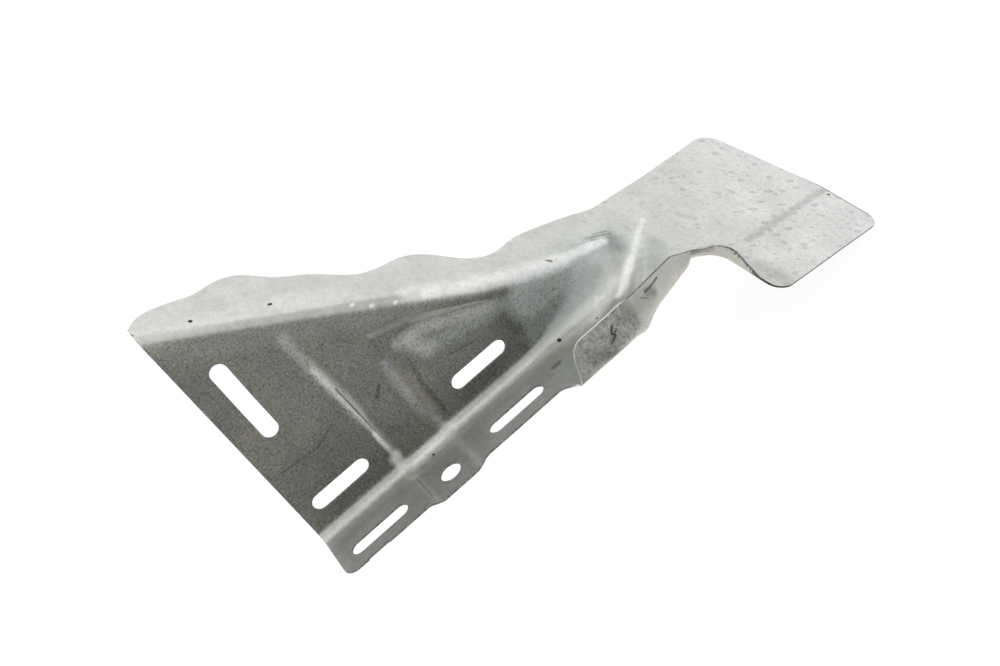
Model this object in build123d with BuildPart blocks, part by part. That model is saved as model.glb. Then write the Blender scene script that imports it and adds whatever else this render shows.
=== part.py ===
from build123d import *
import math
import os

os.makedirs("parts", exist_ok=True)

# Radiator support bracket, one pressed sheet. Millimetres, +Z up.
# X runs along the foot, the wall stands behind it and faces -Y, the foot lies level.
# The origin is the centre of the round hole, at the foot's upper face.

# Sheet and bends, inside radii
sheet_t = 1.0
foot_r = 6.0
ridge_r = 9.0
lip_r = 3.0

# Foot and wall
left_x = -62.0
wall_y = 23.0
foot_front_y = -11.4
foot_corner_r = 6.0
step_depth = 0.6
step_left_x = -50.8
step_right_x = -39.5

# Sloping top plate, which falls toward +X and rises toward the back
plate_fall = 33.2
plate_tilt = 25.0
plate_x = 80.0
plate_z = 35.5

# Slots and hole
slot_w = 8.0
slot_len = 31.0
side_slot_len = 43.0
side_slot_x = -46.5
side_slot_z = 77.3
foot_slot_gap = 79.5
foot_slot_mid = 0.5
wall_slot_gap = 81.5
wall_slot_mid = 1.0
wall_slot_z = 16.0
hole_r = 5.25

# Upturned lip along the arm's inner edge
lip_y = -20.8
lip_h = 19.0
lip_lean = 4.0
lip_base = 60.0
lip_left_x = 66.0

# Scoop, where the wall sweeps back and its bend opens out: place along X, wall, bend radius
scoop = [
    (60.0, 23.0, 6.0),
    (90.0, 27.5, 13.0),
    (116.0, 36.0, 20.0),
    (142.0, 50.5, 17.0),
    (170.0, 72.0, 8.0),
]

# Sunken panel across the wall and the foot
sink_wall = 2.5
sink_foot = 2.0
sink_left_x = -10.0
sink_right_x = 9.0
sink_ramp = 6.0

fall = math.tan(math.radians(plate_fall))
tilt = math.tan(math.radians(plate_tilt))
plate_up = Vector(fall, -tilt, 1).normalized()
plate_along = Vector(1, 0, -fall).normalized()
plate_origin = Vector(plate_x, wall_y, plate_z)
plate_plane = Plane(origin=plate_origin, x_dir=plate_along, z_dir=plate_up)

# The sunken panel fades out along a plane that runs with the ridge
ridge_perp = Vector(math.sin(math.radians(plate_fall)), 0, math.cos(math.radians(plate_fall)))
fade_point = plate_origin - ridge_perp * 9
fade_up = (ridge_perp + Vector(0, 11, 0)).normalized()

# Sunken strip: place along X, depth, then heights of ramp foot, floor and upper edge
strip_shape = [
    (10.0, sink_wall, 26.0, 42.0, 60.0, 66.0),
    (27.0, sink_wall, 27.0, 48.7, 54.5, 60.5),
    (72.0, 0.2, 29.5, 33.0, 33.3, 33.6),
]

# Rear edge of the top in the plate's plane, along and across
rear_edge = [
    (-171, 7),
    (-168.5, 11.5),
    (-153.6, 19.8),
    (-140, 24.2),
    (-131, 29.8),
    (-119, 31.6),
    (-107.5, 27.4),
    (-90, 25.4),
    (-71, 21),
    (-58, 24),
    (-45, 28.6),
    (-33, 26.8),
    (-18, 20.6),
    (-4, 21.6),
    (8, 29),
    (24, 35.6),
    (60, 44.4),
]

FAR = 190.0


def across(x):
    return Plane(origin=(x, 0, 0), x_dir=(0, 1, 0), z_dir=(1, 0, 0))


def ell_section(x, y, r, d):
    # Everything under the foot and behind the wall, cut across X
    with BuildSketch(across(x)) as section:
        with BuildLine():
            floor = Line((-110, -d), (y - r, -d))
            bend = RadiusArc(floor @ 1, (y + d, r), -r - d)
            Polyline(bend @ 1, (y + d, FAR), (FAR, FAR), (FAR, -FAR), (-110, -FAR), (-110, -d))
        make_face()
    return section.sketch


def sink_section(x, y, z, r, d):
    # The room in front of the sunken wall and above the sunken foot
    with BuildSketch(across(x)) as section:
        with BuildLine():
            floor = Line((-14.5, z - d), (y - r, z - d))
            bend = RadiusArc(floor @ 1, (y + d, z + r), -r - d)
            Polyline(bend @ 1, (y + d, 150), (-14.5, 150), (-14.5, z - d))
        make_face()
    return section.sketch


def strip_section(x, h, z1, z2, z3, z4, d):
    with BuildSketch(across(x)) as section:
        with BuildLine():
            Polyline((wall_y - 5, z1), (wall_y + d, z1), (wall_y + h + d, z2), (wall_y + h + d, z3),
                     (wall_y + d, z4), (wall_y - 5, z4), close=True)
        make_face()
    return section.sketch


def side_gap(p, sides, lean):
    # How far a point lies from the block's leaning side
    flat = min(e.distance_to(Vector(p.X, p.Y, -lip_base)) for e in sides)
    return abs(flat - lean * (p.Z + lip_base))


def form(d):
    # Solid under the sheet, its skin set back by d along the normals
    with BuildPart() as body:
        add(ell_section(left_x - 30, wall_y, foot_r, d))
        extrude(amount=scoop[0][0] - left_x + 30, dir=(1, 0, 0))
        loft(sections=[ell_section(x, y, r, d) for x, y, r in scoop])
        with BuildSketch(across(scoop[-1][0])):
            with Locations((40, 0)):
                Rectangle(300, 2 * FAR)
        extrude(amount=140)
        split(bisect_by=Plane(origin=plate_origin - plate_up * d, z_dir=plate_up), keep=Keep.BOTTOM)
        top = body.faces().filter_by(lambda f: f.normal_at().dot(plate_up) > 0.999).sort_by(SortBy.AREA)[-1]
        ridge = top.edges().filter_by(lambda e: -120 < (e @ 0.5).Y < 100 and -60 < (e @ 0.5).X < 140)
        ridge = ridge.filter_by(lambda e: (e @ 0.5).Z > -30 and (e @ 0.5).Z < 150)
        fillet(ridge, ridge_r - d)
        # Sunken panel, ramped at both sides and fading out under the ridge
        with BuildPart(mode=Mode.PRIVATE) as room:
            low_l = sink_section(sink_left_x, wall_y + sink_wall, -sink_foot, foot_r, d)
            low_r = sink_section(sink_right_x, wall_y + sink_wall, -sink_foot, foot_r, d)
            out_y, out_z = wall_y - sink_wall / 2, sink_foot / 2
            out_l = sink_section(sink_left_x - 1.5 * sink_ramp, out_y, out_z, foot_r, d)
            out_r = sink_section(sink_right_x + 1.5 * sink_ramp, out_y, out_z, foot_r, d)
            loft(sections=[out_l, low_l, low_r, out_r], ruled=True)
            split(bisect_by=Plane(origin=fade_point + fade_up * d, z_dir=fade_up), keep=Keep.BOTTOM)
        add(room, mode=Mode.SUBTRACT)
        # Sunken strip between the ridge and the pad round the right slot
        strip = [strip_section(x, h, z1, z2, z3, z4, d) for x, h, z1, z2, z3, z4 in strip_shape]
        loft(sections=strip, ruled=True, mode=Mode.SUBTRACT)
        # The lip: its inner face is the leaning side of a block in front of it
        lean = math.tan(math.radians(lip_lean))
        with BuildSketch(Plane.XY.offset(-lip_base)) as front:
            with BuildLine():
                Polyline((-130, lip_y), (102, lip_y), (154.5, 18.9), (170, 18.9), (186.3, -80),
                         (-130, -80), (-130, lip_y))
            make_face()
            fillet(front.vertices().sort_by_distance((102, lip_y))[0], 28)
            fillet(front.vertices().sort_by_distance((154.5, 18.9))[0], 11)
            fillet(front.vertices().sort_by_distance((170, 18.9))[0], 7)
            offset(amount=-d - lip_base * lean, kind=Kind.INTERSECTION)
        extrude(amount=lip_base + 50, taper=-lip_lean)
        sides = front.sketch.edges()
        seam = body.edges().filter_by(lambda e: 10 - lip_base < (e @ 0.5).Z < 49 and (e @ 0.5).Y > -79)
        seam = seam.filter_by(lambda e: abs((e % 0.5).Z) < 0.99)
        seam = seam.filter_by(lambda e: side_gap(e @ 0.5, sides, lean) < 0.03)
        fillet(seam, lip_r + d)
    return body


outer = form(0)
inner = form(sheet_t)

with BuildPart() as bracket:
    add(outer)
    add(inner, mode=Mode.SUBTRACT)

    # Left end of the wall and the top
    with Locations((left_x - 50, 0, 30)):
        Box(100, 400, 400, mode=Mode.SUBTRACT)

    # Outline of the foot, up to where the lip starts
    with BuildSketch(Plane.XY.offset(-200)) as foot_cut:
        with BuildLine():
            y0 = foot_front_y
            y1 = foot_front_y + step_depth
            y2 = foot_front_y - 1.4
            Polyline((-120, 30), (left_x, 30), (left_x, y0), (step_left_x, y0), (step_left_x, y1),
                     (step_right_x, y1), (step_right_x, y0), (-18, y0), (-12, y2), (12, y2), (18, y0),
                     (60, y0), (lip_left_x, y0 - 6), (lip_left_x, -40), (330, -40), (330, -130),
                     (-120, -130), close=True)
        make_face()
        fillet(foot_cut.vertices().sort_by_distance((left_x, y0))[0], foot_corner_r)
        for x, y in ((-18, y0), (-12, y2), (12, y2), (18, y0)):
            fillet(foot_cut.vertices().sort_by_distance((x, y))[0], 7)
        fillet(foot_cut.vertices().sort_by_distance((60, y0))[0], 6)
    extrude(amount=260, mode=Mode.SUBTRACT)

    # Outline of the top: wavy rear edge, then the paddle
    with BuildSketch(plate_plane.offset(-30)) as top_cut:
        with BuildLine():
            rear = Spline(*rear_edge)
            Polyline(rear @ 1, (100, 64.5), (161.3, 98.5), (199, 36), (211.3, 1.6), (121.3, -37),
                     (106, -14), (100, -160), (330, -160), (330, 200), (-260, 200), (-260, 0), rear @ 0)
        make_face()
        fillet(top_cut.vertices().sort_by_distance((161.3, 98.5))[0], 12)
        fillet(top_cut.vertices().sort_by_distance((211.3, 1.6))[0], 9)
        fillet(top_cut.vertices().sort_by_distance((121.3, -37))[0], 10)
    extrude(amount=150, mode=Mode.SUBTRACT)

    # Free edge of the lip, seen from the front, cut only over the lip itself
    with BuildPart(mode=Mode.PRIVATE) as over_lip:
        with BuildSketch(Plane.XZ.offset(60)) as lip_cut:
            with BuildLine():
                Polyline((50, 0.4), (66.4, 0.4), (72, lip_h), (100, lip_h), (141, 1.5), (161, -14),
                         (171.5, -19), (195, -19), (195, 80), (50, 80), close=True)
            make_face()
            fillet(lip_cut.vertices().sort_by_distance((72, lip_h))[0], 8)
            fillet(lip_cut.vertices().sort_by_distance((100, lip_h))[0], 20)
        extrude(amount=-84)
        with BuildSketch(Plane.XY.offset(-40)):
            with BuildLine():
                Polyline((40, -70), (40, -8), (96, -8), (136, 24), (200, 24), (200, -70), close=True)
            make_face()
        extrude(amount=140, mode=Mode.INTERSECT)
    add(over_lip, mode=Mode.SUBTRACT)

    # The lip runs out beside the paddle
    side = Plane(origin=plate_plane.from_local_coords(Vector(104, 0, 0)),
                 x_dir=plate_plane.y_dir, z_dir=plate_along)
    with BuildSketch(side):
        with BuildLine():
            Polyline((-4, 9), (-18, 9), (-28, 1.6), (-34, 0.6), (-34, 60), (-4, 60), close=True)
        make_face()
    extrude(amount=22, mode=Mode.SUBTRACT)

    # Slots of the wall
    with BuildSketch(Plane.XZ.offset(-wall_y - 10)):
        for x in (wall_slot_mid - wall_slot_gap / 2, wall_slot_mid + wall_slot_gap / 2):
            with Locations((x, wall_slot_z)):
                SlotOverall(slot_len, slot_w)
        with Locations((side_slot_x, side_slot_z)):
            SlotOverall(side_slot_len, slot_w, rotation=90)
    extrude(amount=20, mode=Mode.SUBTRACT)

    # Slots and round hole of the foot
    with BuildSketch(Plane.XY.offset(-10)):
        for x in (foot_slot_mid - foot_slot_gap / 2, foot_slot_mid + foot_slot_gap / 2):
            with Locations((x, 0)):
                SlotOverall(slot_len, slot_w)
        Circle(hole_r)
    extrude(amount=20, mode=Mode.SUBTRACT)

bracket.part.label = "bracket"
export_step(bracket.part, "parts/bracket.step")
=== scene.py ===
import bpy
import bmesh
import math
import numpy as np
from mathutils import Matrix, Vector, noise
from mathutils.bvhtree import BVHTree


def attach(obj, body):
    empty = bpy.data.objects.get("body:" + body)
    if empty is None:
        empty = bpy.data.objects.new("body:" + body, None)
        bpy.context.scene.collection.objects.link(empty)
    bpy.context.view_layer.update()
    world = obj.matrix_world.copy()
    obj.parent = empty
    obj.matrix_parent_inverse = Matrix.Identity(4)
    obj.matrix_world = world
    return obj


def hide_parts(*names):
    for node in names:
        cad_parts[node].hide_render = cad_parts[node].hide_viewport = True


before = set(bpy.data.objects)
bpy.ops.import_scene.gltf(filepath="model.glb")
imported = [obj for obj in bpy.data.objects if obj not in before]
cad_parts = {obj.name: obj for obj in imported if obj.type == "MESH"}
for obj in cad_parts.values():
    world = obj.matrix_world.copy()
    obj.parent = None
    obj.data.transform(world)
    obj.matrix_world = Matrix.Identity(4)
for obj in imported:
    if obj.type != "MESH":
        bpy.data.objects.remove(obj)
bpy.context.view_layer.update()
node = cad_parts["bracket"]
scene = bpy.context.scene

MM = 1000.0  # millimetres in a metre

# Camera, solved from the photograph's slots and edges
LENS = 43.36
SENSOR = 36.0
FAR_CLIP = 20
CAM_AT = Vector((-0.0233, -0.4390, 0.3018))
CAM_RIGHT = Vector((0.74770146, -0.4360077, -0.50083912))
CAM_UP = Vector((0.64706759, 0.30898727, 0.69701535))
CAM_BACK = Vector((-0.14915115, -0.84523615, 0.51315669))

# Frame of the sloping top, millimetres
FALL = math.radians(33.2)
TILT = math.radians(25.0)
PLATE_UP = Vector((math.tan(FALL), -math.tan(TILT), 1)).normalized()
PLATE_ALONG = Vector((1, 0, -math.tan(FALL))).normalized()
PLATE_ACROSS = PLATE_UP.cross(PLATE_ALONG)
PLATE_ORIGIN = Vector((80, 23, 35.5))


def on_plate(s, q):
    """The point s mm along and q mm across the sloping top."""
    return tuple(PLATE_ORIGIN + PLATE_ALONG * s + PLATE_ACROSS * q)


# Cutting the sheet into a fine mesh, metres
STEP = 0.0025                 # between the cutting planes
ON_PLANE = 6e-5               # points this near to a plane count as on it
WELD = 2e-6                   # points nearer than this become one
SLIVER = 1e-5                 # shorter edges are dissolved
RAY_START = 2e-5              # gap between a face and the start of its ray
RAY_LENGTH = 0.02
SHEET_T = (0.0006, 0.0017)    # what a ray through the 1 mm sheet may measure
BOTH_SKINS = 0.85             # least cosine between the two skins

# Pressing and smoothing, millimetres
EVEN_ROUNDS = 3               # rounds that even out the skin's facets
EVEN_PULL = 0.45
FADE_AT_BOX = 4.0             # the pressed shapes fade this near to the CAD box
WAVE_SCALE = 0.045            # slow waves over the whole sheet
WAVE_HEIGHT = 0.22
NORMAL_ROUNDS = 2
SHARP = 0.6                   # a normal further from its face than this is reset
TINY = 1e-12

# Tones of the zinc, and of the painted light and shade on it
SHINE = (0.78, 0.79, 0.77)
BRIGHT = (0.66, 0.67, 0.64)
PALE = (0.55, 0.56, 0.53)
LIGHT = (0.42, 0.43, 0.40)
SOFT = (0.34, 0.36, 0.35)
MID = (0.26, 0.28, 0.265)
GREY = (0.20, 0.21, 0.20)
DULL = (0.145, 0.15, 0.138)
DARK = (0.095, 0.10, 0.09)
DEEP = (0.05, 0.052, 0.045)
BLACK = (0.012, 0.012, 0.010)
CREAM = (0.55, 0.52, 0.45)
BROWN = (0.17, 0.155, 0.12)
OLIVE = (0.30, 0.29, 0.20)
SCOOP_SIDE = (0.45, 0.49, 0.47)
SCOOP_LOW = (0.32, 0.35, 0.335)
# Zone tones with painted light and shade: the foot a darker painted reflection, the wall
# painted shade over blotchy grain, the top painted light from above
FOOT_SHADED = (0.28, 0.292, 0.272)
WALL_SHADED = ((0.128, 0.134, 0.118), (0.150, 0.146, 0.122))
LIP_PALE = (0.31, 0.315, 0.30)
TOP_LIT = ((0.575, 0.59, 0.555), (0.68, 0.69, 0.67))
GRIT_SHADE = (0.52, 0.52, 0.50)

# Painted highlights, painted shade and stained areas, millimetres:
# tone, strength, full radius, fade radius, points along it
AREAS = [
    # Wall just under the ridge
    (GREY, 0.55, 1.0, 8.0,
     (-60, 23, 117), (-44, 23, 108), (-20, 23, 93), (8, 24, 74), (34, 23, 57)),
    # Darker wall at the left, round its slots and above them
    (DARK, 0.6, 4.0, 26.0, (-50, 23, 30), (-24, 23, 22)),
    (DULL, 0.4, 3.0, 16.0, (-30, 23, 60), (-26, 23, 84)),
    # Panel between the two creases
    (DULL, 0.6, 4.0, 11.0, (-2, 25, 72), (-2, 25, 20)),
    (DARK, 0.45, 1.0, 6.0, (-7, 25, 17), (-2, 25, 13)),
    # Left crease: painted highlight along it and at its foot
    (LIGHT, 0.45, 0.5, 4.5, (-18, 23, 88), (-16, 23, 62), (-14, 23.5, 36)),
    (PALE, 0.7, 0.3, 2.6, (-16.5, 23, 68), (-15, 23, 48), (-14, 23.5, 34), (-13, 23, 8)),
    (SHINE, 0.95, 1.2, 5.5, (-13, 22, 7), (-13, 17, 0)),
    (SHINE, 0.8, 0.3, 2.0, (-14, 23, 24), (-13, 22, 8)),
    # Right crease: painted highlight along it, a brownish stain, a dark line beside it
    (SOFT, 0.55, 0.5, 4.5, (9, 24, 47), (8.5, 24, 26), (9, 22, 5)),
    (BROWN, 0.5, 0.5, 3.5, (12, 24, 44), (12, 24, 20)),
    (DEEP, 0.7, 0.3, 2.2, (18, 24, 42), (16.5, 23, 28), (17, 23, 10)),
    # Pad round the right slot
    (DULL, 0.5, 4.0, 14.0, (28, 23, 22), (64, 23, 20)),
    (DEEP, 0.45, 2.0, 9.0, (34, 23, 9), (46, 22, 8)),
    (DULL, 0.6, 1.0, 4.5, (50, 23, 7), (64, 22.5, 6)),
    # Ramp over the pad: painted light on its sloping facet
    (LIGHT, 0.55, 0.8, 5.0, (19, 25, 50), (30, 25, 49), (46, 24, 42), (66, 24, 33)),
    (MID, 0.6, 1.0, 5.5, (34, 24, 38), (50, 24, 35), (70, 24, 30)),
    (LIGHT, 0.6, 0.5, 7.5, (24, 25, 46), (28, 24, 39)),
    # Scoop, painted light and shade by the way it curves: steep side, its lower part, the
    # dark end under the crest, floor
    (SCOOP_SIDE, 0.9, 7.0, 16.0, (80, 26, 24), (104, 31, 17), (116, 35, 13), (128, 38, 8)),
    (SCOOP_LOW, 0.85, 2.0, 9.0, (72, 24, 9), (88, 26, 8), (100, 26, 7), (112, 31, 8)),
    (DULL, 0.5, 0.0, 8.0, (132, 42, 9), (131, 38, 6)),
    (LIGHT, 0.85, 2.0, 6.5,
     (80, 14, 0), (96, 15, 0), (108, 20, 1), (120, 28, 3), (127, 33, 4)),
    (PALE, 0.6, 1.0, 5.0, (96, 13, 0), (108, 17, 0), (118, 24, 1)),
    # Valley of the foot: painted highlight along its bend, olive painted shade near the lip's
    # start, olive at the left crease's foot
    (LIGHT, 0.65, 1.0, 7.0,
     (-62, 18, 0), (-20, 18, 0), (-12, 17, -1), (12, 17, -1), (40, 17, 0), (80, 16, 0)),
    (PALE, 0.55, 0.3, 2.8,
     (-60, 20, 1), (-17, 20, 1), (0, 20, -1), (18, 19, 0), (67, 18, 0), (100, 14, 0)),
    (BRIGHT, 0.85, 0.7, 4.6,
     (-13, 21, 0), (-8, 21, -1), (0, 22, -1), (8, 21, -1), (14, 20, 0)),
    (PALE, 0.6, 0.5, 3.2, (14, 20, 0), (40, 19, 0), (70, 18, 0)),
    (OLIVE, 0.5, 0.5, 5.0, (70, 12, 0), (82, 10, 0)),
    (OLIVE, 0.45, 0.5, 4.0, (-15, 17, 0), (-8, 17, -1)),
    # Ridge between top and wall: painted highlight along its bend
    (BRIGHT, 0.5, 1.5, 7.0, (-61, 26, 127), (-41, 29, 116), (-7, 33, 96), (13, 32, 84)),
    (SHINE, 0.5, 2.0, 7.0, (36, 27, 65), (57, 26, 51), (84, 29, 35), (104, 33, 24)),
    (SHINE, 0.9, 0.8, 3.8,
     (42, 26, 60), (57, 26, 50), (84, 30, 34), (104, 34, 23.5), (116, 37, 18), (129, 41, 12)),
    # Right of the crest: painted shade where the surface dips
    (SOFT, 0.6, 0.0, 11.0, (128, 6, -3), (137, 19, -2), (148, 32, -4)),
    # Crest of the scoop: painted highlight
    (BRIGHT, 0.6, 0.5, 5.0, (155, 51, 0), (149, 45, 1), (134, 31, 1), (115, 15, 0)),
    (SHINE, 0.85, 0.1, 2.6, (155, 51, 0), (149, 45, 1), (134, 31, 1), (123, 22, 0)),
    (SHINE, 0.9, 0.3, 4.0, (130, 28, 1), (123, 22, 0), (113, 14, 0)),
    # Soft dark gradients on the paddle
    (GREY, 0.35, 1.0, 10.0, (176, 8, -36), (180, -4, -43)),
    (BROWN, 0.22, 0.5, 3.5, (172, 52, -12), (177, 47, -16)),
    # Lip: cream painted reflection along its root, then dark marks and a brown stain
    (CREAM, 0.75, 0.5, 7.0,
     (76, -20, -1), (100, -20, -1), (114, -15, -4), (128, -4, -6), (141, 8, -9)),
    (CREAM, 0.6, 2.0, 8.0, (150, 16, -15), (167, 17, -22), (172, 0, -32), (178, -16, -42)),
    (DULL, 0.5, 1.0, 9.0, (76, -21, 9), (88, -21, 6)),
    (DARK, 0.6, 0.5, 4.0, (77, -21, 5), (86, -21, 3)),
    (DARK, 0.55, 0.3, 3.4, (116, -10, 8), (121, -7, 3)),
    (BROWN, 0.45, 1.0, 8.0, (102, -20, 12), (118, -10, 6)),
]

# Fine marks, in the same columns
MARKS = [
    # Scratches on the lip and along the paddle's end
    (BLACK, 0.9, 0.25, 0.75, (92, -21, 14), (90, -21, 11), (91, -21, 9), (87, -21, 7)),
    (BLACK, 0.8, 0.2, 0.6, (91, -21, 10), (93, -21, 11)),
    (BLACK, 0.8, 0.3, 0.9, (116, -11, 9), (120, -8, 7), (127, -3, 5)),
    (BLACK, 0.6, 0.2, 0.7, (112, -14, 10), (117, -11, 4)),
    (DEEP, 0.5, 0.2, 0.8, (76, -21, 2), (84, -21, 4), (88, -21, 3)),
    (DEEP, 0.55, 0.2, 0.8, on_plate(170, 91), on_plate(198.2, 36), on_plate(208.5, 8)),
    # Stained corner, and painted shade in the folds across the foot
    (OLIVE, 0.35, 1.0, 5.0, (-60, 23, 121), (-50, 23, 116)),
    (DARK, 0.5, 0.2, 0.7, (-13, 11, -1), (-13, -6, -1)),
    (DARK, 0.35, 0.2, 0.8, (9, 12, -1), (9, -8, -1)),
    # Dark spots
    (BLACK, 1.0, 0.7, 1.2, (-41, 29, 118), (-41, 29, 118)),
    (BLACK, 1.0, 0.5, 1.0, (-13, 32, 100), (-12, 32, 100)),
    (BLACK, 1.0, 0.5, 1.0, (0, 19, -2), (0, 19, -2)),
    (BLACK, 1.0, 0.6, 1.2, (78, 19, 0), (78, 18, 0)),
    (BLACK, 1.0, 0.6, 1.1, (251, 50, -64), (251, 50, -64)),
    (DARK, 0.9, 0.4, 1.0, (97, 12, 0), (97, 12, 0)),
    (DEEP, 0.6, 0.8, 2.2, (66, 5, 0), (69, 5, 0)),
    # Scratches on the wall
    (DEEP, 0.6, 0.3, 0.9, (-56, 23, 40), (-36, 23, 38), (-26, 23, 42)),
    (BLACK, 0.6, 0.4, 1.4, (1, 26, 40), (-3, 26, 36)),
    (DEEP, 0.8, 0.2, 0.7, (-14.5, 23.5, 54), (-13.5, 23.5, 36), (-12.5, 23.5, 18)),
    (DARK, 0.5, 0.2, 0.8, (-22, 23, 60), (-19, 23, 40), (-20, 23, 26)),
    (DARK, 0.45, 0.2, 0.7, (-48, 23, 62), (-40, 23, 84)),
    (DARK, 0.45, 0.2, 0.9, (-4, 26, 60), (0, 26, 44)),
    (DEEP, 0.5, 0.2, 0.8, (34, 23, 30), (46, 23, 27)),
    # Dents along the ridge: painted highlights on three of them, a dark mark at the fourth
    (SHINE, 0.9, 0.5, 1.6, (14, 25, 79), (15, 25, 79)),
    (SHINE, 0.9, 0.5, 1.5, (20, 24, 73), (21, 24, 73)),
    (SHINE, 0.8, 0.5, 1.4, (29, 24, 67), (30, 24, 67)),
    (DEEP, 0.7, 0.5, 1.2, (98, 33, 29), (99, 33, 26)),
    # Rubbed lines where ridge and crest meet, and on the scoop's floor
    (DARK, 0.5, 0.2, 1.2, (122, 44, 17), (134, 45, 10)),
    (DARK, 0.5, 0.2, 1.1, (124, 42, 16), (137, 42, 8)),
    (DARK, 0.4, 0.2, 1.1, (127, 46, 15), (134, 47, 11)),
    (BRIGHT, 0.4, 0.2, 1.4, (105, 20, 1), (109, 21, 1)),
    (BRIGHT, 0.35, 0.2, 1.4, (101, 18, 1), (105, 22, 2)),
]

# Lengths of the cut edge, in the same columns: painted highlight where the lip's edge faces
# up, near black along the paddle's lower edge, lighter along the top's back edge
EDGE_AREAS = [
    (BRIGHT, 0.85, 3.0, 9.0, (67, -20, 1), (70, -21, 14), (80, -21, 19), (98, -21, 19)),
    (BLACK, 0.95, 5.0, 12.0, on_plate(118, -36), on_plate(211, 1)),
    (SOFT, 0.6, 4.0, 12.0, (-62, 24, 125), (0, 45, 100), (80, 50, 50)),
]

# Water spots on the top: cell size, seed, largest radius, millimetres
SPOTS = ((7.5, 3.0, 1.9), (4.6, 31.0, 1.0))
SPOT_ALONG = 0.8
SPOT_ACROSS = 1.35

# Crease across the paddle, pressed, with painted shade along it
PADDLE_CREASE = (on_plate(127.4, 2.6), on_plate(196.6, 33.6))

# Small shapes pressed into the sheet, millimetres: width, height, direction, points along it
BACK = Vector((0, 1, 0))
LIP_ROOT = Vector((0.2, 0.15, -0.97))
PRESSED = [
    # Hollow at the lip's root, right of the crest
    (6.0, 3.6, LIP_ROOT, (107, -17, -1), (126, -4, -5), (138, 5, -8), (148, 14, -12)),
    # Crest of the scoop
    (2.4, 0.5, PLATE_UP, (154, 50, 0), (134, 31, 1)),
    (3.0, 0.7, PLATE_UP, (134, 31, 1), (114, 14, 0)),
    # Dents along the ridge
    (2.4, 0.5, BACK, (14, 25, 79), (14, 25, 79)),
    (2.4, 0.5, BACK, (20, 24, 73), (20, 24, 73)),
    (2.4, 0.4, BACK, (29, 24, 67), (29, 24, 67)),
    (2.6, 0.5, BACK, (99, 33, 28), (99, 33, 28)),
    # Creases of the paddle and of the wall's panel
    (2.2, 0.4, -PLATE_UP, *PADDLE_CREASE),
    (2.6, 0.5, -BACK, (-17, 23, 70), (-14, 23, 30), (-13, 23, 12)),
    (2.4, 0.5, -BACK, (9, 24, 45), (8.5, 24, 14)),
    # Dents in the panel
    (2.2, 0.5, BACK, (0, 26, 40), (-3, 26, 36)),
    (3.0, 0.5, BACK, (-7, 25, 17), (-2, 25, 13)),
]

# White floor and soft studio light
WHITE = (1, 1, 1, 1)
FLOOR_GREY = (0.25, 0.25, 0.25, 1)
FLOOR_GLOW = 0.8
FLOOR_SIZE = 12
FLOOR_AT = (0, 1.5, -0.0787)
WORLD_LIT = 0.85
WORLD_SEEN = 1.0
# Lamps: name, place, target, size, watts
LAMPS = (
    ("key", (0.3, 0.1, 2.2), (0.05, 0.03, 0.0), 2.2, 14),
    ("fill", (-0.9, -1.2, 1.2), (0.0, 0.0, 0.03), 1.4, 4),
)


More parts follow.
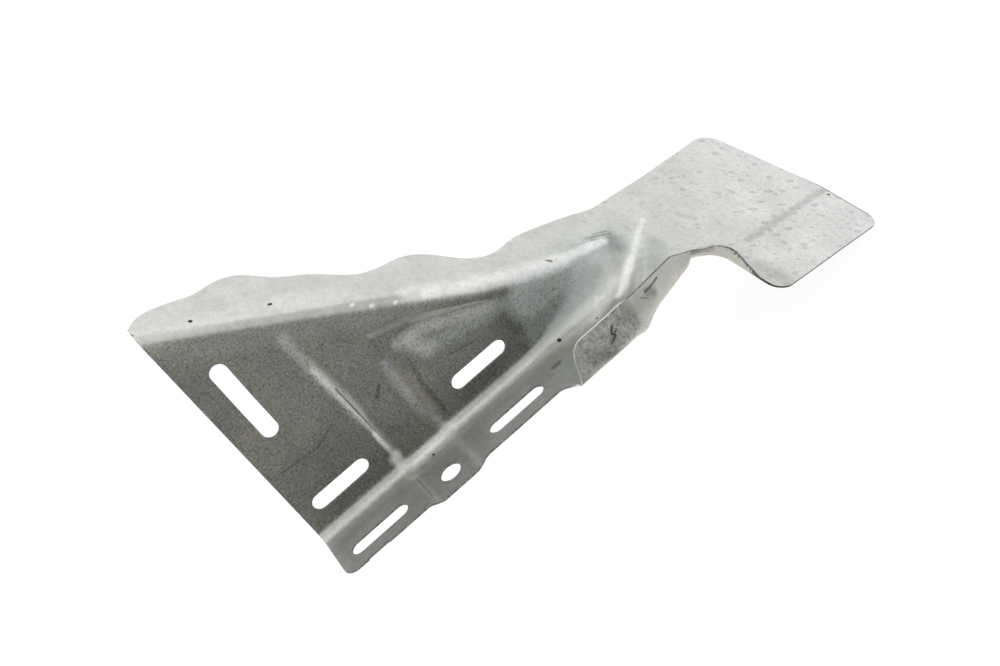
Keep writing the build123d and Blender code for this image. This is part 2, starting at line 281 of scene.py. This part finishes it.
class Nodes:
    """Small helper that writes node chains."""

    def __init__(self, tree):
        self.tree = tree

    def new(self, kind, **props):
        n = self.tree.nodes.new(kind)
        for key, value in props.items():
            setattr(n, key, value)
        return n

    def link(self, a, b):
        self.tree.links.new(a, b)

    def put(self, socket, v):
        if hasattr(v, "is_output"):
            self.link(v, socket)
        else:
            socket.default_value = v

    def math(self, op, a, b=0.0, clamp=False):
        n = self.new("ShaderNodeMath", operation=op, use_clamp=clamp)
        self.put(n.inputs[0], a)
        self.put(n.inputs[1], b)
        return n.outputs[0]

    def add(self, a, b):
        return self.math("ADD", a, b)

    def mul(self, a, b):
        return self.math("MULTIPLY", a, b)

    def vmath(self, op, a, b=None, scale=None):
        n = self.new("ShaderNodeVectorMath", operation=op)
        self.put(n.inputs[0], a)
        if b is not None:
            self.put(n.inputs[1], b)
        if scale is not None:
            self.put(n.inputs["Scale"], scale)
        return n.outputs["Value" if op in ("DOT_PRODUCT", "DISTANCE") else "Vector"]

    def millimetres(self):
        coord = self.new("ShaderNodeTexCoord").outputs["Object"]
        return self.vmath("SCALE", coord, scale=MM)

    def facing(self, normal, way):
        return self.math("ABSOLUTE", self.vmath("DOT_PRODUCT", normal, way))

    def ramp(self, v, a, b, lo=0.0, hi=1.0, kind="SMOOTHSTEP"):
        n = self.new("ShaderNodeMapRange", interpolation_type=kind, clamp=True)
        self.put(n.inputs["Value"], v)
        self.put(n.inputs["From Min"], a)
        self.put(n.inputs["From Max"], b)
        self.put(n.inputs["To Min"], lo)
        self.put(n.inputs["To Max"], hi)
        return n.outputs["Result"]

    def linear(self, v, a, b, lo=0.0, hi=1.0):
        return self.ramp(v, a, b, lo, hi, "LINEAR")

    def spread(self, v, lo, hi):
        """The middle of a noise, stretched from lo to hi."""
        return self.linear(v, 0.3, 0.7, lo, hi)

    def noise(self, vec, scale, detail, rough):
        n = self.new("ShaderNodeTexNoise")
        self.link(vec, n.inputs["Vector"])
        n.inputs["Scale"].default_value = scale
        n.inputs["Detail"].default_value = detail
        n.inputs["Roughness"].default_value = rough
        return n.outputs["Fac"]

    def wobble(self, mm):
        """Makes the edge of a painted area uneven."""
        return self.spread(self.noise(mm, 0.22, 3, 0.6), -1.0, 1.0)

    def mix(self, fac, a, b, mode="MIX"):
        n = self.new("ShaderNodeMix", data_type="RGBA", blend_type=mode)
        self.put(n.inputs[0], fac)
        self.put(n.inputs[6], a if hasattr(a, "is_output") else (*a, 1.0))
        self.put(n.inputs[7], b if hasattr(b, "is_output") else (*b, 1.0))
        return n.outputs[2]

    def far(self, p, a, b):
        """Distance from the segment a-b."""
        g = self.new("ShaderNodeGroup")
        g.node_tree = far_group
        self.put(g.inputs["P"], p)
        g.inputs["A"].default_value = a
        g.inputs["B"].default_value = b
        return g.outputs["Distance"]

    def white(self, kind, strength):
        n = self.new(kind)
        n.inputs["Color"].default_value = WHITE
        n.inputs["Strength"].default_value = strength
        return n.outputs[0]

    def metal(self, colour, rough, metallic, bump=None):
        out = self.new("ShaderNodeOutputMaterial")
        bsdf = self.new("ShaderNodeBsdfPrincipled")
        self.link(bsdf.outputs[0], out.inputs[0])
        self.put(bsdf.inputs["Base Color"], colour)
        self.put(bsdf.inputs["Roughness"], rough)
        bsdf.inputs["Metallic"].default_value = metallic
        if bump is not None:
            b = self.new("ShaderNodeBump")
            b.inputs["Strength"].default_value = 0.25
            b.inputs["Distance"].default_value = 0.00006
            self.link(bump, b.inputs["Height"])
            self.link(b.outputs[0], bsdf.inputs["Normal"])


def make_far_group():
    g = bpy.data.node_groups.new("distance from segment", "ShaderNodeTree")
    for name in ("P", "A", "B"):
        g.interface.new_socket(name, in_out="INPUT", socket_type="NodeSocketVector")
    g.interface.new_socket("Distance", in_out="OUTPUT", socket_type="NodeSocketFloat")
    n = Nodes(g)
    given = n.new("NodeGroupInput")
    result = n.new("NodeGroupOutput")
    pa = n.vmath("SUBTRACT", given.outputs["P"], given.outputs["A"])
    ba = n.vmath("SUBTRACT", given.outputs["B"], given.outputs["A"])
    length2 = n.add(n.vmath("DOT_PRODUCT", ba, ba), 1e-6)
    share = n.math("DIVIDE", n.vmath("DOT_PRODUCT", pa, ba), length2, clamp=True)
    nearest = n.vmath("SCALE", ba, scale=share)
    n.link(n.vmath("DISTANCE", pa, nearest), result.inputs["Distance"])
    return g


far_group = make_far_group()


def new_material(name):
    mat = bpy.data.materials.new(name)
    mat.use_nodes = True
    mat.node_tree.nodes.clear()
    return mat, Nodes(mat.node_tree)


def painted(n, mm, wob, colour, table):
    """Lay the areas of a table over a colour, one after the other."""
    for tone, strength, full, fade, *pts in table:
        # The tiny share of the colour makes each area wait for the one before,
        # because Cycles runs out of room when all the distances come first
        here = n.new("ShaderNodeVectorMath", operation="MULTIPLY_ADD")
        n.link(colour, here.inputs[0])
        here.inputs[1].default_value = (1e-7, 1e-7, 1e-7)
        n.link(mm, here.inputs[2])
        d = None
        for a, b in zip(pts[:-1], pts[1:]):
            part = n.far(here.outputs[0], a, b)
            d = part if d is None else n.math("MINIMUM", d, part)
        d = n.add(d, n.mul(wob, min(0.8, fade * 0.12)))
        colour = n.mix(n.ramp(d, full, fade, strength, 0.0), colour, tone)
    return colour


def water_spotted(n, colour, s, q, wob, top):
    """Spots with a darker ring, thicker toward the end of the paddle."""
    flat = n.new("ShaderNodeCombineXYZ")
    n.link(n.mul(s, SPOT_ALONG), flat.inputs[0])
    n.link(n.mul(q, SPOT_ACROSS), flat.inputs[1])
    for cell, seed, size in SPOTS:
        vor = n.new("ShaderNodeTexVoronoi", voronoi_dimensions="2D")
        vor.inputs["Scale"].default_value = 1.0 / cell
        n.link(n.vmath("ADD", flat.outputs[0], (seed, seed, 0.0)), vor.inputs["Vector"])
        d = n.add(n.mul(vor.outputs["Distance"], cell), n.mul(wob, 0.3))
        pick = n.new("ShaderNodeSeparateColor")
        n.link(vor.outputs["Color"], pick.inputs[0])
        lots = n.linear(s, -30.0, 150.0, 0.35, 1.0)
        r = n.mul(n.mul(n.linear(pick.outputs[0], 0.35, 1.0), size), lots)
        body = n.math("LESS_THAN", d, r)
        ring = n.mul(body, n.math("GREATER_THAN", d, n.mul(r, 0.7)))
        shade = n.mul(n.add(n.mul(body, 0.20), n.mul(ring, 0.28)), lots)
        colour = n.mix(n.mul(shade, top), colour, GREY)
    return colour


def gritty(n, mm, colour, wall):
    """Gritty grain, strong on the wall and faint on the top."""
    grit = n.noise(mm, 0.95, 5, 0.75)
    share = n.linear(wall, 0.0, 1.0, 0.22, 1.0)
    colour = n.mix(n.mul(n.ramp(grit, 0.50, 0.62), share), colour, GRIT_SHADE, "MULTIPLY")
    return n.mix(n.mul(n.ramp(grit, 0.46, 0.34), n.mul(share, 0.28)), colour, LIGHT)


def sheet_material():
    mat, n = new_material("zinc_sheet")
    mm = n.millimetres()
    xyz = n.new("ShaderNodeSeparateXYZ")
    n.link(mm, xyz.inputs[0])
    normal = n.new("ShaderNodeNewGeometry").outputs["Normal"]
    from_plate = n.vmath("SUBTRACT", mm, tuple(PLATE_ORIGIN))
    s = n.vmath("DOT_PRODUCT", from_plate, tuple(PLATE_ALONG))
    q = n.vmath("DOT_PRODUCT", from_plate, tuple(PLATE_ACROSS))
    h = n.vmath("DOT_PRODUCT", from_plate, tuple(PLATE_UP))
    fine = n.noise(mm, 1.3, 4, 0.7)
    grain = n.noise(mm, 0.35, 4, 0.65)
    broad = n.noise(mm, 0.055, 3, 0.55)
    wob = n.wobble(mm)

    # Where each zone lies, from the way it faces and its height over the plate
    top = n.mul(n.ramp(n.facing(normal, tuple(PLATE_UP)), 0.90, 0.985), n.ramp(h, -3.0, -1.4))
    wall = n.ramp(n.facing(normal, (0.0, -1.0, 0.0)), 0.86, 0.985)
    foot = n.mul(n.ramp(n.facing(normal, (0.0, 0.0, 1.0)), 0.93, 0.995),
                 n.ramp(h, -1.4, -4.0))
    lip = n.ramp(xyz.outputs[1], -17.0, -20.0)
    # Tones by zone: painted light on the top, painted shade with blotchy grain on the wall, a
    # darker painted reflection on the foot, mottled grey on the lip
    c = n.mix(foot, LIGHT, FOOT_SHADED)
    c = n.mix(wall, c, n.mix(n.ramp(broad, 0.38, 0.62), *WALL_SHADED))
    c = n.mix(lip, c, n.mix(n.ramp(grain, 0.35, 0.65), GREY, LIP_PALE))
    c = n.mix(top, c, n.mix(n.ramp(s, 60, 190), *TOP_LIT))

    c = painted(n, mm, wob, c, AREAS)
    c = water_spotted(n, c, s, q, wob, top)
    # Painted shade along the paddle's crease, on the top only
    d = n.add(n.far(mm, *PADDLE_CREASE), n.mul(wob, 0.6))
    c = n.mix(n.mul(n.ramp(d, 0.5, 3.6, 0.33, 0.0), top), c, GREY)
    c = painted(n, mm, wob, c, MARKS)
    c = gritty(n, mm, c, wall)

    value = n.add(n.spread(fine, -0.08, 0.08), n.spread(grain, -0.09, 0.09))
    value = n.add(n.add(value, n.spread(broad, -0.08, 0.08)), 1.0)
    hsv = n.new("ShaderNodeHueSaturation")
    n.link(c, hsv.inputs["Color"])
    n.link(value, hsv.inputs["Value"])
    n.metal(hsv.outputs[0], n.spread(grain, 0.36, 0.5), 0.45, fine)
    return mat


def rim_material():
    mat, n = new_material("cut_edge")
    mm = n.millimetres()
    grain = n.noise(mm, 0.5, 4, 0.7)
    c = n.mix(n.ramp(grain, 0.35, 0.65), DEEP, GREY)
    c = painted(n, mm, n.wobble(mm), c, EDGE_AREAS)
    n.metal(c, n.spread(grain, 0.35, 0.6), 0.4)
    return mat


def backdrop_material():
    mat, n = new_material("backdrop")
    out = n.new("ShaderNodeOutputMaterial")
    diffuse = n.new("ShaderNodeBsdfDiffuse")
    diffuse.inputs["Color"].default_value = FLOOR_GREY
    both = n.new("ShaderNodeAddShader")
    n.link(diffuse.outputs[0], both.inputs[0])
    n.link(n.white("ShaderNodeEmission", FLOOR_GLOW), both.inputs[1])
    n.link(both.outputs[0], out.inputs[0])
    return mat


def slice_evenly(bm, step):
    """Cut the mesh by planes across all three axes."""
    lo = Vector([min(v.co[i] for v in bm.verts) for i in range(3)])
    hi = Vector([max(v.co[i] for v in bm.verts) for i in range(3)])
    for axis in range(3):
        way = Vector((0, 0, 0))
        way[axis] = 1
        at = lo[axis] + step
        while at < hi[axis]:
            p = Vector((0, 0, 0))
            p[axis] = at
            bmesh.ops.bisect_plane(bm, geom=bm.verts[:] + bm.edges[:] + bm.faces[:],
                                   dist=ON_PLANE, plane_co=p, plane_no=way)
            at += step
    bmesh.ops.triangulate(bm, faces=bm.faces[:])
    bmesh.ops.dissolve_degenerate(bm, edges=bm.edges[:], dist=SLIVER)
    bmesh.ops.triangulate(bm, faces=bm.faces[:])


def mark_skin(bm):
    """Slot 0 for the sheet's skin, slot 1 for its cut edge.

    A face of the skin has the other skin one sheet's thickness behind it. A face
    that finds it in front is turned.
    """
    tree = BVHTree.FromBMesh(bm)
    turned = []
    for f in bm.faces:
        centre = f.calc_center_median()
        f.material_index = 1
        for way in (-1, 1):
            _, normal, _, thickness = tree.ray_cast(
                centre + f.normal * (way * RAY_START), f.normal * way, RAY_LENGTH)
            if normal is None or not SHEET_T[0] < thickness < SHEET_T[1]:
                continue
            if abs(normal.dot(f.normal)) > BOTH_SKINS:
                f.material_index = 0
                if way > 0:
                    turned.append(f)
                break
    bmesh.ops.reverse_faces(bm, faces=turned)
    # A face whose neighbours all have the other slot takes theirs
    for _ in range(2):
        flips = []
        for f in bm.faces:
            others = [g.material_index for e in f.edges for g in e.link_faces if g is not f]
            if others and all(m != f.material_index for m in others):
                flips.append(f)
        for f in flips:
            f.material_index = 1 - f.material_index


def sliced_copy(src):
    """The sheet again, cut into a fine even mesh that can take small dents."""
    bm = bmesh.new()
    bm.from_mesh(src.data)
    bmesh.ops.remove_doubles(bm, verts=bm.verts, dist=WELD)
    bmesh.ops.dissolve_degenerate(bm, edges=bm.edges[:], dist=SLIVER)
    bmesh.ops.recalc_face_normals(bm, faces=bm.faces[:])
    slice_evenly(bm, STEP)
    mark_skin(bm)
    fresh = bpy.data.meshes.new("sheet")
    bm.to_mesh(fresh)
    bm.free()
    return fresh


def near(p, a, b):
    """Distances of the points p from the segment a-b."""
    a, b = np.array(a, float), np.array(b, float)
    ab = b - a
    t = np.clip(((p - a) @ ab) / max(ab @ ab, 1e-9), 0, 1)
    return np.linalg.norm(p - a - t[:, None] * ab, axis=1)


def unit_rows(v):
    return v / np.maximum(np.linalg.norm(v, axis=1, keepdims=True), TINY)


def dress(mesh):
    """Press the small shapes in and give the skin soft, even normals."""
    nv = len(mesh.vertices)
    co = np.empty(nv * 3)
    mesh.vertices.foreach_get("co", co)
    co = co.reshape(-1, 3) * MM
    nf = len(mesh.polygons)
    tri = np.empty(nf * 3, dtype=np.int64)
    mesh.loops.foreach_get("vertex_index", tri)
    tri = tri.reshape(-1, 3)
    slots = np.empty(nf, dtype=np.int32)
    mesh.polygons.foreach_get("material_index", slots)
    skin = slots == 0
    lo, hi = co.min(0), co.max(0)
    on_rim = np.zeros(nv, bool)
    on_rim[tri[~skin].ravel()] = True
    st = tri[skin]
    pairs = np.concatenate([st[:, [0, 1]], st[:, [1, 2]], st[:, [2, 0]]])
    pairs = np.concatenate([pairs, pairs[:, ::-1]])

    # Even the skin out a little between its facets
    for _ in range(EVEN_ROUNDS):
        total = np.zeros((nv, 3))
        count = np.zeros(nv)
        np.add.at(total, pairs[:, 0], co[pairs[:, 1]])
        np.add.at(count, pairs[:, 0], 1)
        ok = (count > 0) & ~on_rim
        co[ok] += EVEN_PULL * (total[ok] / count[ok, None] - co[ok])

    # Pressed shapes and slow waves, fading out toward the CAD box
    room = np.clip(np.minimum(co - lo, hi - co).min(1) / FADE_AT_BOX, 0, 1)
    move = np.zeros_like(co)
    for width, height, way, *pts in PRESSED:
        d = np.min([near(co, a, b) for a, b in zip(pts[:-1], pts[1:])], axis=0)
        move += (height * np.exp(-(d / width) ** 2))[:, None] * np.array(way)
    wave = np.array([noise.noise(Vector(p) * WAVE_SCALE) for p in co])
    move += WAVE_HEIGHT * wave[:, None] * np.array(PLATE_UP)
    co += move * room[:, None]
    co = np.clip(co, lo, hi)
    mesh.vertices.foreach_set("co", (co / MM).ravel())
    mesh.update()

    a, b, c = co[tri[:, 0]], co[tri[:, 1]], co[tri[:, 2]]
    face_normals = np.cross(b - a, c - a)
    unit = unit_rows(face_normals)

    def vertex_normals(mask, rounds):
        vn = np.zeros((nv, 3))
        for k in range(3):
            np.add.at(vn, tri[mask, k], face_normals[mask])
        vn = unit_rows(vn)
        for _ in range(rounds):
            total = vn.copy()
            np.add.at(total, pairs[:, 0], vn[pairs[:, 1]])
            vn = unit_rows(total)
        return vn

    # Skin and cut edge are smoothed apart, so the edge between them stays sharp
    of_skin = vertex_normals(skin, NORMAL_ROUNDS)
    of_rim = vertex_normals(~skin, 0)
    loops = np.where(skin[:, None, None], of_skin[tri], of_rim[tri])
    flat = (loops * unit[:, None, :]).sum(2) < SHARP
    loops = np.where(flat[:, :, None], unit[:, None, :], loops)
    mesh.polygons.foreach_set("use_smooth", [True] * nf)
    mesh.normals_split_custom_set(loops.reshape(-1, 3).tolist())


def add_camera():
    data = bpy.data.cameras.new("camera")
    data.lens = LENS
    data.sensor_width = SENSOR
    data.clip_end = FAR_CLIP
    cam = bpy.data.objects.new("camera", data)
    scene.collection.objects.link(cam)
    cam.matrix_world = Matrix((*zip(CAM_RIGHT, CAM_UP, CAM_BACK, CAM_AT), (0, 0, 0, 1)))
    scene.camera = cam


def add_lamp(name, place, target, size, watts):
    data = bpy.data.lights.new(name, "AREA")
    data.shape = "DISK"
    data.size = size
    data.energy = watts
    lamp = bpy.data.objects.new(name, data)
    scene.collection.objects.link(lamp)
    lamp.location = place
    aim = Vector(target) - Vector(place)
    lamp.rotation_euler = aim.to_track_quat("-Z", "Y").to_euler()


def add_world():
    """Even light, and plain white for the camera and for what metal and glass show."""
    world = bpy.data.worlds.new("world")
    scene.world = world
    world.use_nodes = True
    world.node_tree.nodes.clear()
    n = Nodes(world.node_tree)
    out = n.new("ShaderNodeOutputWorld")
    ray = n.new("ShaderNodeLightPath")
    shown = n.math("MAXIMUM", ray.outputs["Is Camera Ray"], ray.outputs["Is Glossy Ray"])
    shown = n.math("MAXIMUM", shown, ray.outputs["Is Transmission Ray"])
    mixed = n.new("ShaderNodeMixShader")
    n.link(shown, mixed.inputs[0])
    n.link(n.white("ShaderNodeBackground", WORLD_LIT), mixed.inputs[1])
    n.link(n.white("ShaderNodeBackground", WORLD_SEEN), mixed.inputs[2])
    n.link(mixed.outputs[0], out.inputs[0])


add_camera()
scene.view_settings.view_transform = "Standard"

mesh = sliced_copy(node)
dress(mesh)
piece = bpy.data.objects.new("sheet", mesh)
scene.collection.objects.link(piece)
mesh.materials.append(sheet_material())
mesh.materials.append(rim_material())
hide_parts("bracket")
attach(piece, "root")

bpy.ops.mesh.primitive_plane_add(size=FLOOR_SIZE, location=FLOOR_AT)
floor = bpy.context.object
floor.name = "floor"
floor.data.materials.append(backdrop_material())

for lamp in LAMPS:
    add_lamp(*lamp)
add_world()

bpy.context.view_layer.update()
